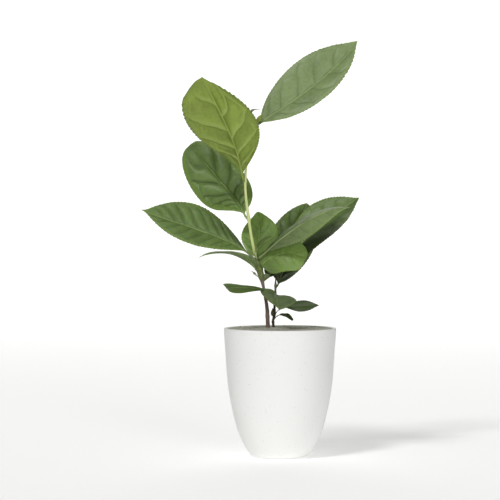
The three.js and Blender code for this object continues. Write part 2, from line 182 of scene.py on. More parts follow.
LEAF_ROWS = [
    dict(
        node="leaf_top_front", z=220.8, bend=[(-34.1, -12, 243.6), (-33.8, -31.5, 248)],
        tip=(-61.4, -38.3, 300.8), half=(28.8, 24), foot=(1.5, 1.35), point=(0.36, 0.96), nose=0.3,
        nose_length=3.5, roll=(-5, -6), fold=22, cup=-16, upper=-1, stalk=0.06, veins=4.8, quilt=3,
        loops=0.6, ribs=0.5, teeth=1.4, flare=0.3, dusk=(0, 0.15, 0.1), tone="young",
    ),
    dict(
        node="leaf_top_right", z=266.4, bend=[(-14.2, 1.4, 269.8), (40.5, 9.5, 299.5)],
        tip=(62.5, 16, 333.8), half=(24, 18.3), foot=(1.3, 1.5), point=(0.9, 1.15), nose=0.15,
        roll=(-30, -24), fold=22, cup=-8, stalk=0.05, veins=6.5, quilt=0.9, ribs=0.15, teeth=1.3, scar=1,
        dusk=(2, 0.08, 0), tone="pale",
    ),
    dict(
        node="leaf_upper_left", z=190, bend=[(-37.7, 9.9, 211.5), (-30.6, 33.3, 199)],
        tip=(-73.2, 42.4, 251.3), half=(22.9, 18.9), foot=(0.98, 0.67), point=(0.38, 0.36), nose=0,
        roll=(8, -4), fold=10, cup=-14, stalk=0.07, veins=5.8, quilt=3.8, ribs=0.5, band=6, teeth=0.5,
    ),
    dict(
        node="leaf_left_long", z=156.4, bend=[(-28.4, -8.6, 173.9), (-79.3, -13.2, 184)],
        tip=(-110.3, -12.2, 197.8), half=(17.2, 20.2), foot=(1.75, 1.75), point=(1.45, 1.2), nose=0.65,
        roll=(38, 30), fold=16, cup=-8, stalk=0.12, veins=10.5, quilt=1.7, ribs=0.6, flare=0.9,
        dusk=(1, 0.75, -0.1),
    ),
    dict(
        node="leaf_left_edge", z=148.2, bend=[(-24.7, 8.9, 163.5), (-54, 33, 169)], tip=(-65.6, 40, 158.8),
        half=(4.2, 10), foot=(0.8, 0.6), point=(0.4, 4.5), roll=(0, 82), turn=0.3, fold=6, cup=-12,
        stalk=0.03, veins=6, quilt=0.5, teeth=0.3, flare=1.6, tone="pale", slot="leaf_young",
    ),
    dict(
        node="leaf_centre_upright", z=156, bend=[(-19.6, 9, 163), (-14.1, 22, 175)],
        tip=(-17.9, 30, 196.2), half=(14.4, 15.8), foot=(0.85, 0.95), point=(0.72, 0.68), nose=0.3,
        fold=12, cup=-8, stalk=0.12, veins=5.6, quilt=0.9, ribs=0.4, teeth=0.6, dusk=(1, 0.2, 0),
        tone="fresh",
    ),
    dict(
        node="leaf_young_axil", z=163.7, bend=[(-16.8, -6.5, 171), (-12.1, -10, 174.6)],
        tip=(-5.7, -12, 176.2), half=(3.2, 3.2), foot=(0.9, 0.9), point=(0.9, 0.9), roll=(-30, -30),
        fold=48, stalk=0.12, veins=5, quilt=0.1, dusk=(2, 0.4, 0.3), slot="leaf_young",
    ),
    dict(
        node="leaf_right_front", z=158.2, bend=[(-3.9, -14.2, 172.4), (29.2, -31.6, 200.2)],
        tip=(52.9, -44.8, 199.4), half=(15.2, 14.6), foot=(1.09, 1.6), point=(0.91, 1.15), nose=0.2,
        roll=(-49, -68), fold=-14, cup=-10, stalk=0.07, veins=7.5, quilt=0.5, ribs=0.35, teeth=1.8,
        flare=0.9, scar=1, dusk=(2, 0.6, -0.1), tone="pale",
    ),
    dict(
        node="leaf_right_low_front", z=152.2, bend=[(-9.4, -6, 161.1), (4.6, -10, 167)],
        tip=(20.8, -11, 159.4), half=(16, 15.4), foot=(0.36, 0.26), point=(0.42, 0.17), nose=0,
        roll=(-30, -24), fold=2, cup=-14, stalk=0, veins=5, quilt=0.25, ribs=0.3, teeth=1.7, flare=4,
        scar=1, dusk=(2, 0.4, 0), tone="fresh",
    ),
    dict(
        node="leaf_second_back", on="second", z=136.2, bend=[(1.6, 10.5, 139.8), (9, 28.2, 175.6)],
        tip=(22.6, 35.9, 203.2), half=(18.9, 18.9), foot=(1.24, 1.28), point=(0.92, 0.68), nose=0,
        roll=(0, 10), fold=8, cup=-10, stalk=0.08, veins=7, quilt=2.4, ribs=0.4, flare=0.9,
        dusk=(2, 1.1, 0.08), slot="leaf_dark",
    ),
    dict(
        node="leaf_right_back", z=143.2, bend=[(32.9, 8.4, 187), (38.7, 17, 190.6)],
        tip=(63.8, 13.1, 207.5), half=(19.6, 17.8), foot=(1.14, 0.6), point=(1.02, 0.72), wing=6, nose=0.3,
        roll=(-42, -34), fold=18, cup=-8, stalk=0, start=0.02, veins=7, quilt=0.6, ribs=0.5, teeth=1.4,
        flare=3.2, dusk=(1, 2.8, 0.45),
    ),
    dict(
        node="leaf_low_left", on="second", z=131.9, bend=[(-15.1, -7, 135.2), (-32.1, -16, 137)],
        tip=(-42.8, -24, 135.9), half=(6.4, 5.6), foot=(1.5, 1.5), point=(0.3, 0.08), nose=0,
        roll=(50, 50), fold=4, cup=-14, stalk=0.03, veins=5, quilt=0.2, ribs=0.2, teeth=0.35,
        dusk=(2, 0.9, 0.35),
    ),
    dict(
        node="leaf_low_right", on="second", z=130.6, bend=[(-5, -9.3, 131.5), (-3, -22, 124)],
        tip=(-0.8, -32.3, 119), half=(15.6, 12), foot=(0.8, 0.12), point=(0.4, 1.3), roll=(-14, -14),
        fold=5, stalk=0.08, veins=5, quilt=0.3, ribs=0, teeth=0.15, scar=1, dusk=(2, 0.5, 0.5),
        tone="pale",
    ),
    dict(
        node="leaf_low_far_right", on="second", z=113.2, bend=[(-2.1, 0, 120.4), (8.3, 2, 120.2)],
        tip=(31.3, 5, 121), half=(4.6, 4.8), foot=(1.11, 1.2), point=(0.81, 0.81), roll=(-15, -15), fold=8,
        cup=-10, stalk=0.46, veins=5.5, quilt=0.5, ribs=0.2, teeth=0.5, dusk=(2, 0.5, 0.4), tone="deep",
    ),
    dict(
        node="leaf_small_low", on="second", z=109.5, bend=[(-2.2, -1, 114.7), (3.6, -4.2, 116.6)],
        tip=(10.2, -7.7, 109.5), half=(2.6, 2.6), foot=(0.99, 1.04), point=(0.3, 0.3), roll=(-50, -50),
        fold=8, cup=-10, stalk=0.34, veins=4, quilt=0.1, ribs=0.3, dusk=(2, 0.6, 0.5), tone="deep",
    ),
    dict(
        node="leaf_top_sliver", z=259, bend=[(-24.4, 5, 270), (-27.5, 5, 279.6)], tip=(-16, 4, 277.9),
        half=(0.6, 0.6), foot=(0.8, 0.8), point=(0.8, 0.8), nose=0, fold=20, stalk=0.3, veins=1, quilt=0,
        flare=0, tone="scale",
    ),
    dict(
        node="scale_low", z=143.4, bend=[(-19.3, 0.6, 145.6), (-20.9, -0.5, 147.3)], tip=(-23, -1, 148.7),
        half=(0.8, 0.8), foot=(0.6, 0.6), point=(0.8, 0.8), fold=10, stalk=0.15, veins=1, quilt=0,
        tone="scale", slot="bud",
    ),
]
LEAVES = [Row(**{**LEAF_DEFAULTS, **row}) for row in LEAF_ROWS]

# Stalks: STALK_RADIUS is a share of the rib's length, and STALK_JOINED counts in radii
FIT_GAP = 0.3
STALK_RADIUS = 0.0095
THINNEST_STALK = 0.42
STALK_TAPER = 0.3
STALK_JOINED = 4
STALK_END = 0.95
STALK_SUNK = 0.12
STALK_SIDES = 14
STALK_STEP = 1.1
# Painted shade on the stalk: the reach of the dark foot, and the share and reach of the blade's painted
# shade
PAINTED_FOOT_SHADE_REACH = 2.6
STALK_PAINTED_SHADE = 0.7
STALK_PAINTED_SHADE_REACH = 30

# Blades: the grid's steps, and the outline at the foot, the tip and the margin
GRID_ACROSS = 0.45
GRID_ALONG = 0.42
# Layers on the blade: the vein layer also carries painted shade beside the veins, and the last one is
# painted shade
BLADE_LAYERS = ("rib", "vein", "edge", "tooth", "dusk")
BLADE_FOOT = 0.6
BLADE_START = 0.12
NECK_WIDTH = 0.6
WING_AT = 3.5
WING_REACH = 3.8
THINNEST_EDGE = 0.06
LEAF_WAVE = 0.5
EDGE_CURL = 0.7

# Teeth of the margin: spacing, the shortest leaf that has them and where they lie on it
TOOTH_SPACING = 2.8
TOOTH_LEAF_LENGTH = 30
TOOTH_FROM = 0.1
TOOTH_TO = 0.985
TOOTH_HOOK = 1.4

# Veins: how far side veins slant, bend, alternate and stray, their width and relief, the
# loops near the margin and the painted shade beside a vein, which also deepens its groove
VEIN_SLANT = 0.75
VEIN_BEND = 1.3
VEIN_STAGGER = 0.42
VEIN_DRIFT = 0.2
VEIN_WIDTH = 0.55
VEIN_RIDGE = 0.8
VEIN_GROOVE = 0.12
RIB_WIDTH = 0.8
RIB_GROOVE = 0.2
LOOP_START = 0.84
LOOP_DROP = 0.2
LOOP_STRENGTH = 0.7
SHADE_REACH = 2.4
SHADE_STRENGTH = 0.3

# Bulges between the veins, sways of the blade as (height, size) and the ladder of fine veins
QUILT_ROUND = 1.5
QUILT_SLOPE = 0.55
CREASE_BOTTOM = 0.5
OUTER_QUILT = 0.6
SWAYS = ((0.5, 12), (0.12, 3.5))
LADDER_HEIGHT = 0.09
LADDER_SPACING = (7, 1.1)

# Finishes of the leaves, sRGB: upper side, lower side, veins and margin, and the slot
TONES = {
    "young": ("#839743", "#82953b", "#9caf5b", "#728833", "leaf_young"),
    "fresh": ("#759245", "#92a95e", "#a7bf6f", "#7f9f40", "leaf_green"),
    # pale is partly the leaves' own greyer green and partly painted sheen where their waxy skin catches
    # the light
    "pale": ("#7d915c", "#8d9f63", "#a6b87c", "#829c4e", "leaf_green"),
    "mature": ("#637c3e", "#869b5a", "#97ac62", "#718d35", "leaf_green"),
    "deep": ("#455a22", "#5f7040", "#647a3f", "#465825", "leaf_dark"),
    "scale": ("#878d6a", "#8b9071", "#969c78", "#767c5e", "leaf_young"),
}
TOOTH_TONE = "#4b4a2c"
# Colour of the painted shade on blades and stalks
PAINTED_SHADE_TONE = "#1b2410"
WAX_IOR = 1.45

# Camera: where the photograph was taken from
CAMERA_PLACE = (-24, -1600, 188.8)
CAMERA_DOWN = 0.84
CAMERA_LENS = 144

# Stage, in metres. Each light has its direction, its strength and its width in degrees.
FLOOR_REACH = 5.0
SWEEP_HALF = 1.2
SWEEP_FROM = 1.6
SWEEP_RADIUS = 1.2
SWEEP_STEPS = 64
STAGE_GLOW = 0.36
ROOM_LIGHT = 0.08
LIGHTS = {
    "key_light": ((-0.85, -1.35, 1.7), 1.3, 13),
    "front_light": ((0.7, -1.9, 0.25), 0.96, 20),
    "top_light": ((0.1, 0.1, 1.9), 0.27, 40),
}


def linear(hexadecimal):
    """An sRGB hex colour as linear red, green, blue and alpha."""
    values = [int(hexadecimal[i:i + 2], 16) / 255 for i in (1, 3, 5)]
    return (*[v / 12.92 if v <= 0.04045 else ((v + 0.055) / 1.055) ** 2.4 for v in values], 1.0)


COLOUR = {"subtype": "COLOR", "size": 4, "min": 0, "max": 1}


class TeaPlantPotSettings(bpy.types.PropertyGroup):
    """Finish of the pot and the soil."""

    colour: bpy.props.FloatVectorProperty(
        name="Pot colour", description="Colour of the pot's matte composite",
        **COLOUR, default=linear("#f3f3f1"),
    )
    speckle: bpy.props.FloatVectorProperty(
        name="Speckle colour", description="Colour of the fine fibres in the pot",
        **COLOUR, default=linear("#d2d2cd"),
    )
    soil: bpy.props.FloatVectorProperty(
        name="Soil colour", description="Colour of the potting soil",
        **COLOUR, default=linear("#bdbbaf"),
    )


class TeaPlantLeafSettings(bpy.types.PropertyGroup):
    """Sizes of the leaves' blades."""

    thickness: bpy.props.FloatProperty(
        name="Blade thickness", description="Thickness of a leaf's blade",
        subtype="DISTANCE", unit="LENGTH", min=0.0001, max=0.002, default=0.42 * MM,
    )
    tooth: bpy.props.FloatProperty(
        name="Tooth depth", description="How far a tooth of the margin stands out",
        subtype="DISTANCE", unit="LENGTH", min=0, max=0.002, default=0.62 * MM,
    )
    quilt: bpy.props.FloatProperty(
        name="Quilting", description="Share of each leaf's own bulging between its veins",
        subtype="FACTOR", min=0, max=2, default=1.0,
    )


class TeaPlantStageSettings(bpy.types.PropertyGroup):
    """Floor and lights."""

    floor: bpy.props.FloatVectorProperty(
        name="Floor colour", description="Colour of the floor and the backdrop",
        **COLOUR, default=linear("#f7f7f6"),
    )
    light: bpy.props.FloatProperty(
        name="Light strength", description="Share of the usual strength of the lights",
        subtype="FACTOR", min=0, max=4, default=1.0,
    )


def smooth(value, low, high):
    """Goes smoothly from 0 at low to 1 at high."""
    share = min(max((value - low) / (high - low), 0.0), 1.0)
    return share * share * (3.0 - 2.0 * share)


def mix(low, high, share):
    """Value or place between two others."""
    return low + (high - low) * share


def hill(distance, reach):
    """1 at no distance, falling to nothing past the reach."""
    return exp(-((distance / reach) ** 2))


def between(rows, key):
    """Value between rows of (key, value), eased from one row to the next."""
    if key <= rows[0][0]:
        return rows[0][1]
    for (low, first), (high, second) in zip(rows, rows[1:]):
        if key <= high:
            return mix(first, second, smooth(key, low, high))
    return rows[-1][1]


def spline(points, steps):
    """Points on a centripetal Catmull-Rom curve through the given ones."""
    ends = [2 * points[0] - points[1], *points, 2 * points[-1] - points[-2]]
    curve = []
    for before, start, end, after in zip(ends, ends[1:], ends[2:], ends[3:]):
        first, middle, last = (
            sqrt((q - p).length) for p, q in ((before, start), (start, end), (end, after))
        )
        leaving = (start - before) / first - (end - before) / (first + middle) + (end - start) / middle
        arriving = (end - start) / middle - (after - start) / (middle + last) + (after - end) / last
        out = start + leaving * middle / 3
        back = end - arriving * middle / 3
        curve += geometry.interpolate_bezier(start, out, back, end, steps + 1)[:-1]
    return [*curve, points[-1].copy()]


def add_node(tree, kind, inputs=None, **settings):
    """Adds a shader node with its settings, and with its values or the sockets that feed
    it, and gives its outputs."""
    made = tree.nodes.new(f"ShaderNode{kind}")
    for key, value in settings.items():
        setattr(made, key, value)
    for key, value in (inputs or {}).items():
        if isinstance(value, bpy.types.NodeSocket):
            tree.links.new(value, made.inputs[key])
        else:
            made.inputs[key].default_value = value
    return made.outputs


def new_material(name, follows="Object"):
    """An empty node material, its tree and the place that its patterns follow."""
    material = bpy.data.materials.new(name)
    material.use_nodes = True
    tree = material.node_tree
    tree.nodes.clear()
    return material, tree, add_node(tree, "TexCoord")[follows]


def finish_material(material, colour, rough, normal, inputs):
    """Ends a material's tree with its surface shader and returns the material."""
    tree = material.node_tree
    look = {"Base Color": colour, "Roughness": rough, "Normal": normal, **inputs}
    shader = add_node(tree, "BsdfPrincipled", look)
    add_node(tree, "OutputMaterial", {"Surface": shader["BSDF"]})
    return material


def tinted(tree, colour, layers):
    """Lays tints over a colour. Each has the socket that places it, the values of the socket
    between which it changes, how strong it is at both, and its colour."""
    for value, low, high, least, most, tint in layers:
        ends = {"From Min": low, "From Max": high, "To Min": least, "To Max": most}
        share = add_node(tree, "MapRange", {"Value": value, **ends})["Result"]
        colour = add_node(tree, "Mix", {0: share, 6: colour, 7: tint}, data_type="RGBA")[2]
    return colour


def per_mm(size):
    """Scale of a pattern on Object coordinates whose feature is this many millimetres."""
    return 1 / (size * MM)


def composite_material(settings):
    """Moulded plant-fibre composite: matte and white, with fine grey flecks of fibre that
    give the eye a soft, slightly dusty shell instead of glossy plastic."""
    material, tree, place = new_material("moulded_fibre_composite")
    specks = add_node(tree, "TexVoronoi", {"Vector": place, "Scale": per_mm(1.9)})["Distance"]
    areas = add_node(tree, "TexNoise", {"Vector": place, "Scale": per_mm(2.4), "Detail": 1})["Fac"]
    small, few = (
        add_node(tree, "MapRange", ends)["Result"]
        for ends in (
            {"Value": specks, "From Min": 0.1, "From Max": 0.24, "To Min": 1, "To Max": 0},
            {"Value": areas, "From Min": 0.5, "From Max": 0.66},
        )
    )
    fleck = add_node(tree, "Math", {0: small, 1: few}, operation="MULTIPLY")[0]
    colour = tinted(tree, settings.colour, [(fleck, 0, 1, 0, 1, settings.speckle)])
    grain = add_node(tree, "TexNoise", {"Vector": place, "Scale": per_mm(0.9), "Detail": 3})["Fac"]
    rough = add_node(tree, "MapRange", {"Value": grain, "To Min": 0.5, "To Max": 0.68})["Result"]
    bump = add_node(tree, "Bump", {"Height": grain, "Strength": 0.25, "Distance": 0.05 * MM})
    return finish_material(material, colour, rough, bump["Normal"], {"Specular IOR Level": 0.3})


def soil_material(settings):
    """Moist potting soil: dull crumbs in greys and browns, dark in the hollows, that read
    as loose peat and sand without any shine."""
    material, tree, place = new_material("potting_soil")
    patches = add_node(tree, "TexNoise", {"Vector": place, "Scale": per_mm(7), "Detail": 4})["Fac"]
    grains = add_node(tree, "TexVoronoi", {"Vector": place, "Scale": per_mm(1.1)})
    colour = tinted(tree, settings.soil, (
        (patches, 0, 1, 0, 1, linear("#848278")),
        (grains["Color"], 0, 1, 0, 0.75, linear("#d1cfc0")),
    ))
    crumbly = {"Height": grains["Distance"], "Strength": 0.7, "Distance": 0.3 * MM}
    bump = add_node(tree, "Bump", crumbly)
    return finish_material(material, colour, 0.95, bump["Normal"], {"Specular IOR Level": 0.2})


def stem_material(name, woody, ripening, green, heights):
    """Bark that turns into green stem: grey-brown and furrowed lengthwise where the stem is
    old, then smooth, waxy and yellow-green, which shows the eye how young the plant is."""
    material, tree, place = new_material(name)
    height = add_node(tree, "SeparateXYZ", {0: place})["Z"]
    wobble = add_node(tree, "TexNoise", {"Vector": place, "Scale": per_mm(4)})["Fac"]
    ragged = {0: wobble, 1: BARK_RAGGED * MM, 2: height}
    shifted = add_node(tree, "Math", ragged, operation="MULTIPLY_ADD")[0]
    age, ripe = (
        add_node(
            tree, "MapRange", {"Value": shifted, "From Min": low * MM, "From Max": high * MM},
            interpolation_type="SMOOTHSTEP",
        )["Result"]
        for low, high in heights
    )
    stretched = add_node(tree, "Mapping", {"Vector": place, "Scale": (1.0, 1.0, 0.16)})["Vector"]
    furrowed = {"Vector": stretched, "Scale": per_mm(0.9), "Detail": 5, "Roughness": 0.65}
    furrows = add_node(tree, "TexNoise", furrowed)["Fac"]
    bark, olive, fresh = (
        tinted(tree, linear(dark), [(furrows, 0.3, 0.75, 0, 1, linear(light))])
        for dark, light in (woody, ripening, green)
    )
    young = tinted(tree, olive, [(ripe, 0, 1, 0, 1, fresh)])
    colour = tinted(tree, bark, [(age, 0, 1, 0, 1, young)])
    rough = add_node(tree, "MapRange", {"Value": age, "To Min": 0.85, "To Max": 0.42})["Result"]
    bump = add_node(tree, "Bump", {"Height": furrows, "Strength": 0.35, "Distance": 0.12 * MM})
    return finish_material(material, colour, rough, bump["Normal"], {"IOR": WAX_IOR})


def blade_material(name, lamina, vein, margin, waxy):
    """Leaf blade of a tea plant: leathery, with a waxy skin above and a duller one below. A
    net of fine veins, a pale midrib, a tinted margin with dark teeth and uneven green make
    it look grown. Painted shade darkens the upper skin beside its side veins, as in creases,
    and parts of some blades, as where they lie under other leaves."""
    material, tree, place = new_material(name)
    rib, side, edge, tooth, dusk = (
        add_node(tree, "Attribute", attribute_name=key)["Fac"] for key in BLADE_LAYERS
    )
    base = linear(lamina)[:3]
    # deeper and brighter vary the green at random; dark is the painted shade in the creases of the upper
    # skin
    deeper, brighter, dark = (
        (*[min(c * factor, 1) for c in base], 1.0) for factor in (0.78, 1.2, 0.45)
    )
    patches, grain = (
        add_node(tree, "TexNoise", {"Vector": place, "Scale": per_mm(size), "Detail": 4})["Fac"]
        for size in (14, 2.5)
    )
    uneven = tinted(tree, deeper, [(patches, 0.3, 0.7, 0, 1, brighter)])
    mottled = tinted(tree, deeper, [(grain, 0.35, 0.65, 0, 1, brighter)])
    green = add_node(tree, "Mix", {0: 0.4, 6: uneven, 7: mottled}, data_type="RGBA")[2]
    meshes = {"Vector": place, "Scale": per_mm(1.0)}
    net = add_node(tree, "TexVoronoi", meshes, feature="DISTANCE_TO_EDGE")["Distance"]
    # On the upper skin the vein layer goes dark as painted shade in the creases, and the last layer lays
    # painted shade over parts of the blade
    colour = tinted(tree, green, (
        (net, 0, 0.12, 0.1, 0, linear(vein)),
        (edge, 0, 1, 0, 0.75, linear(margin)),
        (side, 0, 1, 0, 0.55, dark if waxy else linear(vein)),
        (rib, 0.2, 1, 0, 0.85, linear(vein)),
        (tooth, 0, 1, 0, 0.8, linear(TOOTH_TONE)),
        (dusk, 0, 1, 0, 0.85, linear(PAINTED_SHADE_TONE)),
    ))
    least, most = (0.42, 0.6) if waxy else (0.52, 0.7)
    rough = add_node(tree, "MapRange", {"Value": grain, "To Min": least, "To Max": most})["Result"]
    fine = add_node(tree, "Bump", {"Height": net, "Strength": 0.3, "Distance": 0.06 * MM})
    uneven_skin = {"Height": grain, "Strength": 0.4, "Distance": 0.6 * MM, "Normal": fine["Normal"]}
    bump = add_node(tree, "Bump", uneven_skin)
    coat = {"Coat Weight": 0.12 if waxy else 0.0, "Coat Roughness": 0.35}
    return finish_material(material, colour, rough, bump["Normal"], {"IOR": WAX_IOR, **coat})


def stalk_material(name, pale, green):
    """Leaf stalk and midrib: smooth, juicy tissue, paler than the blade, with fine streaks along it
    that lead the eye from the stem into the leaf, and painted shade darkening it near its foot."""
    material, tree, along = new_material(name, "UV")
    stretched = add_node(tree, "Mapping", {"Vector": along, "Scale": (14.0, 3.0, 1.0)})["Vector"]
    streaks = add_node(tree, "TexNoise", {"Vector": stretched, "Scale": 1, "Detail": 3})["Fac"]
    # Painted shade, strongest at the stalk's foot on the stem
    dusk = add_node(tree, "Attribute", attribute_name="dusk")["Fac"]
    colour = tinted(tree, linear(pale), (
        (streaks, 0, 1, 0, 1, linear(green)), (dusk, 0, 1, 0, 1, linear(PAINTED_SHADE_TONE)),
    ))
    bump = add_node(tree, "Bump", {"Height": streaks, "Strength": 0.3, "Distance": 0.05 * MM})
    return finish_material(material, colour, 0.45, bump["Normal"], {"IOR": WAX_IOR})


def stage_material(colour):
    """Backlit matt studio acrylic: a pale, even sweep with a faint glow of its own, so that
    it stays near white and only catches soft shadows."""
    material, tree, place = new_material("backlit_matt_acrylic")
    fibres = add_node(tree, "TexNoise", {"Vector": place, "Scale": per_mm(3)})["Fac"]
    bump = add_node(tree, "Bump", {"Height": fibres, "Strength": 0.05, "Distance": 0.1 * MM})
    look = {"Emission Color": colour, "Emission Strength": STAGE_GLOW, "Specular IOR Level": 0.1}
    return finish_material(material, colour, 0.9, bump["Normal"], look)


def flat_grid(bm, across, along):
    """Adds a flat grid. Gives each vertex with its shares across and along."""
    if not bm.loops.layers.uv:
        bm.loops.layers.uv.new("UVMap")
    made = bmesh.ops.create_grid(bm, x_segments=across, y_segments=along, size=1.0, calc_uvs=True)
    return [(v, (v.co.x + 1) / 2, (v.co.y + 1) / 2) for v in made["verts"]]


def grid_rows(bm, across, along):
    """Adds a flat grid. Gives its rows: the share along, and vertices with theirs across."""
    rows = {}
    for vert, x, y in flat_grid(bm, across, along):
        rows.setdefault(round(y * along), []).append((vert, x))
    return [(row / along, verts) for row, verts in sorted(rows.items())]


def tube(bm, sides, steps, middle, radius):
    """Rolls a grid into a tube along a middle line and gives its faces. middle(share) is
    the line's point and its two cross directions, radius(share, angle) the distance from
    it, nothing at both ends."""
    before = set(bm.faces)
    verts = []
    for share, row in grid_rows(bm, sides, steps):
        centre, right, out = middle(share)
        for vert, x in row:
            angle = 2 * pi * x
            reach = radius(share, angle)
            vert.co = (centre + (right * cos(angle) + out * sin(angle)) * reach) * MM
            verts.append(vert)
    bmesh.ops.remove_doubles(bm, verts=verts, dist=0.0005 * MM)
    faces = [f for f in bm.faces if f not in before]
    bmesh.ops.recalc_face_normals(bm, faces=faces)
    return faces


def link(name, data):
    """Adds an object with its data to the scene."""
    made = bpy.data.objects.new(name, data)
    bpy.context.scene.collection.objects.link(made)
    return made


def link_mesh(name, bm, materials):
    """Adds an object with a finished mesh."""
    mesh = bpy.data.meshes.new(name)
    bm.to_mesh(mesh)
    bm.free()
    mesh.shade_smooth()
    for material in materials:
        mesh.materials.append(material)
    return link(name, mesh)


def add_piece(name, bm, materials, nodes):
    """Makes a finished piece that stands for CAD nodes."""
    piece = link_mesh(name, bm, materials)
    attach(piece, "root")
    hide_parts(*nodes)


def pot_side():
    """Outer side of the pot from the foot up to the rim, radius and height."""
    points = [Vector((r * RIM_RADIUS, h * POT_HEIGHT, 0)) for h, r in reversed(POT_PROFILE)]
    return [(p.x, p.y) for p in spline(points, 5)]


def inner_radius(height):
    """Inner radius of the pot at a height."""
    side = pot_side()
    for (r0, z0), (r1, z1) in zip(side, side[1:]):
        if height <= z1:
            return mix(r0, r1, (height - z0) / (z1 - z0)) - POT_WALL
    return RIM_RADIUS - POT_WALL


def turn(bm, profile, turns):
    """Spins a profile of (radius, height) about the upright axis into a closed body."""
    verts = [bm.verts.new((r * MM, 0, z * MM)) for r, z in profile]
    edges = [bm.edges.new(pair) for pair in zip(verts, verts[1:])]
    bmesh.ops.spin(
        bm, geom=verts + edges, cent=(0, 0, 0), axis=(0, 0, 1), angle=2 * pi,
        steps=turns, use_merge=True, use_duplicate=False,
    )
    bmesh.ops.remove_doubles(bm, verts=bm.verts[:], dist=0.001 * MM)
    bmesh.ops.recalc_face_normals(bm, faces=bm.faces[:])


def ring_edges(bm, radius, height):
    """Edges of the turned ring at a radius and height."""
    def on_ring(vert):
        flat = hypot(vert.co.x, vert.co.y) / MM
        return max(abs(flat - radius), abs(vert.co.z / MM - height)) < NEAR

    return [e for e in bm.edges if all(map(on_ring, e.verts))]


class TeaPlantPot(bpy.types.Operator):
    """Turns the tapering pot with its rounded rim and foot"""

    bl_idname = "tea_plant.pot"
    bl_label = "Pot"

    def execute(self, context):
        settings = context.scene.tea_plant_pot
        side = pot_side()
        inner_heights = [POT_HEIGHT * i / 24 for i in range(22, 1, -1)]
        inner = [(inner_radius(z), z) for z in inner_heights if z > POT_FLOOR + 3]
        inside_rim = RIM_RADIUS - POT_WALL
        floor = [(inner[-1][0] - FLOOR_BEVEL, POT_FLOOR), (0, POT_FLOOR)]
        profile = [(0, 0), *side, (inside_rim, POT_HEIGHT), *inner, *floor]
        bm = bmesh.new()
        turn(bm, profile, POT_TURNS)
        roundings = (
            ((RIM_RADIUS, inside_rim), POT_HEIGHT, LIP_ROUND, 5),
            ((side[0][0],), 0, FOOT_ROUND, 3),
        )
        for radii, height, rounding, segments in roundings:
            edges = [edge for radius in radii for edge in ring_edges(bm, radius, height)]
            bmesh.ops.bevel(
                bm, geom=edges, offset=rounding * MM, offset_type="OFFSET", affect="EDGES",
                segments=segments, profile=0.5, material=-1,
            )
        add_piece("pot_shell", bm, [composite_material(settings)], ["pot"])
        return {"FINISHED"}


def soil_height(x, y, top):
    """Height of the soil's crumbly surface, in millimetres."""
    flat = hypot(x, y)
    mound = SOIL_MOUND * (1 - smooth(flat, 0, 0.8 * RIM_RADIUS))
    place = Vector((x, y, 0))
    lumps = sum(noise.noise(place / size) * share for share, size in SOIL_LUMPS)
    crumbs = abs(noise.noise(place / SOIL_GRAIN))
    wall = inner_radius(top)
    ease = 1 - smooth(flat, wall - SOIL_EDGE, wall - SOIL_GAP)
    return top + mound + SOIL_RELIEF * (lumps + crumbs - SOIL_SUNK) * mix(0.3, 1.0, ease)


class TeaPlantSoil(bpy.types.Operator):
    """Fills the pot with soil, rough on top and strewn with crumbs"""

    bl_idname = "tea_plant.soil"
    bl_label = "Soil"

    def execute(self, context):
        settings = context.scene.tea_plant_pot
        rng = random.Random(RANDOM_SEED)
        top = POT_HEIGHT - SOIL_BELOW_RIM
        edge = inner_radius(top) - SOIL_GAP
        heights = [mix(POT_FLOOR + 3, top - 2, i / 14) for i in range(15)]
        side = [(inner_radius(z) - SOIL_GAP, z) for z in heights]
        low = POT_FLOOR + SOIL_GAP
        bottom = [(0, low), (side[0][0] - FLOOR_BEVEL, low)]
        surface = [(edge * (1 - i / SOIL_RINGS), top) for i in range(SOIL_RINGS + 1)]
        bm = bmesh.new()
        turn(bm, [*bottom, *side, *surface], SOIL_TURNS)
        for vert in bm.verts:
            if vert.co.z > (top - NEAR) * MM:
                vert.co.z = soil_height(vert.co.x / MM, vert.co.y / MM, top) * MM
        for _ in range(CRUMB_COUNT):
            distance = (edge - 2) * sqrt(rng.random())
            angle = rng.random() * 2 * pi
            x, y = distance * cos(angle), distance * sin(angle)
            size = mix(*CRUMB_RADIUS, rng.random() ** 2)
            lump = bmesh.ops.create_icosphere(bm, subdivisions=1, radius=size * MM)["verts"]
            stretch = Vector([rng.uniform(*reach) for reach in CRUMB_STRETCH])
            bmesh.ops.scale(bm, vec=stretch, verts=lump)
            seat = soil_height(x, y, top) + CRUMB_LIFT * size
            bmesh.ops.translate(bm, vec=Vector((x, y, seat)) * MM, verts=lump)
        add_piece("soil_fill", bm, [soil_material(settings)], ["soil"])
        return {"FINISHED"}


def stem_curve(stem):
    """Points on a stem's middle line, from the soil to its top."""
    return spline([Vector(p) for p in stem.path], 40)


def stem_at(curve, height):
    """Point of a stem's middle at a height."""
    for low, high in zip(curve, curve[1:]):
        if height <= high.z:
            return low.lerp(high, max((height - low.z) / (high.z - low.z), 0.0))
    return curve[-1].copy()


def stem_radius(stem, height):
    """Smooth radius of a stem at a height, with its swellings."""
    swelling = sum(extra * hill(height - at, reach) for at, extra, reach in stem.knots)
    return between(stem.radii, height) + swelling


